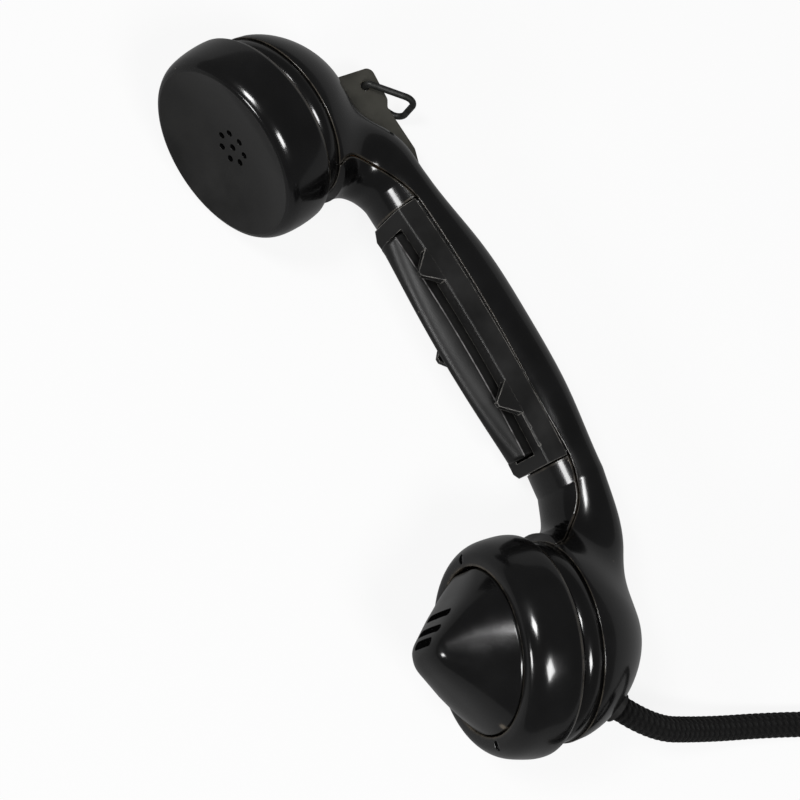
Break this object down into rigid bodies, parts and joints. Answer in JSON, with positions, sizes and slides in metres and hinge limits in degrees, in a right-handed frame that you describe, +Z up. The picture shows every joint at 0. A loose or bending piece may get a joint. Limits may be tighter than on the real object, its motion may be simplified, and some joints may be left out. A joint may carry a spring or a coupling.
{
  "type": "field telephone handset",
  "caption": "Moulded telephone handset with a domed ear head, a mouth head with a slanting wedge mouthpiece, a press-to-talk key in the grip, a lug with a wire ring, and a braided cord.",
  "frame": {"origin": "centre of the handset on the surface that it lies on", "axes": "+X from the ear head to the mouth head, +Y towards the back of the grip, +Z up from the surface; the handset lies on its side"},
  "size_m": [0.4053, 0.1369, 0.0689],
  "materials": {
    "bakelite": "polished black phenolic moulding, worn on its edges",
    "bakelite_inner": "black phenolic, as moulded",
    "frame_grey": "dark grey, matt, rubbed bright on the edges",
    "key_black": "black, half gloss",
    "lug_black": "black, matt",
    "steel": "dull zinc plate",
    "ring_steel": "dull plated wire",
    "brass": "bare",
    "tinned": "tinned",
    "aluminium": "spun",
    "iron": "blackened",
    "enamel_wire": "varnished winding",
    "felt": "grey felt",
    "rubber": "black, dull",
    "fibre": "red-brown fibre",
    "carbon": "black grain",
    "cord_braid": "black braided cotton",
    "wire_cover": "coloured rubber"
  },
  "bodies": {
    "handset": {"carbon_cup": "brass", "carbon_grain": "carbon", "contact_screws": "steel", "contact_spacers": "fibre", "cord": "cord_braid", "cord_coil": "cord_braid", "cord_gland": "rubber", "cord_tail": "cord_braid", "cord_tie": "rubber", "ear_cap": "bakelite", "ear_contact_springs": "brass", "ear_neck_cover": "bakelite", "ear_spring_screws": "brass", "fixed_contact_leaves": "tinned", "handle_body": "bakelite", "hanging_lug": "lug_black", "inner_wires": "wire_cover", "key_frame": "frame_grey", "key_frame_screws": "steel", "key_pin": "steel", "key_spring": "steel", "microphone_case": "aluminium", "microphone_diaphragm": "aluminium", "microphone_grille": "aluminium", "mouth_contact_springs": "brass", "mouth_neck_cover": "bakelite", "mouth_ring": "bakelite", "mouth_spring_screws": "brass", "mouthpiece": "bakelite", "mouthpiece_gasket": "rubber", "moving_contact_leaf": "tinned", "plug_body": "bakelite_inner", "plug_disc": "fibre", "plug_pins": "brass", "plug_ring": "steel", "receiver_case": "aluminium", "receiver_coils": "enamel_wire", "receiver_diaphragm": "iron", "receiver_felt_ring": "felt", "receiver_magnet": "iron"},
    "talk_key": {"talk_key": "key_black"},
    "hanging_ring": {"hanging_ring": "ring_steel"}
  },
  "joints": [
    {"name": "key_hinge", "type": "hinge", "parent": "handset", "child": "talk_key", "pos_m": [-0.04196, 0.01977, 0.0197], "axis": [-0.0167, 0.3899, 0.9207], "range_deg": [0, 2], "stiffness_Nm_per_rad": 3, "springref_deg": -2.29, "deforming": ["key_spring", "moving_contact_leaf"]},
    {"name": "ring_hinge", "type": "hinge", "parent": "handset", "child": "hanging_ring", "pos_m": [-0.09743, 0.03266, 0.01323], "axis": [-0.0167, 0.3899, 0.9207], "range_deg": [-17, 140]}
  ]
}
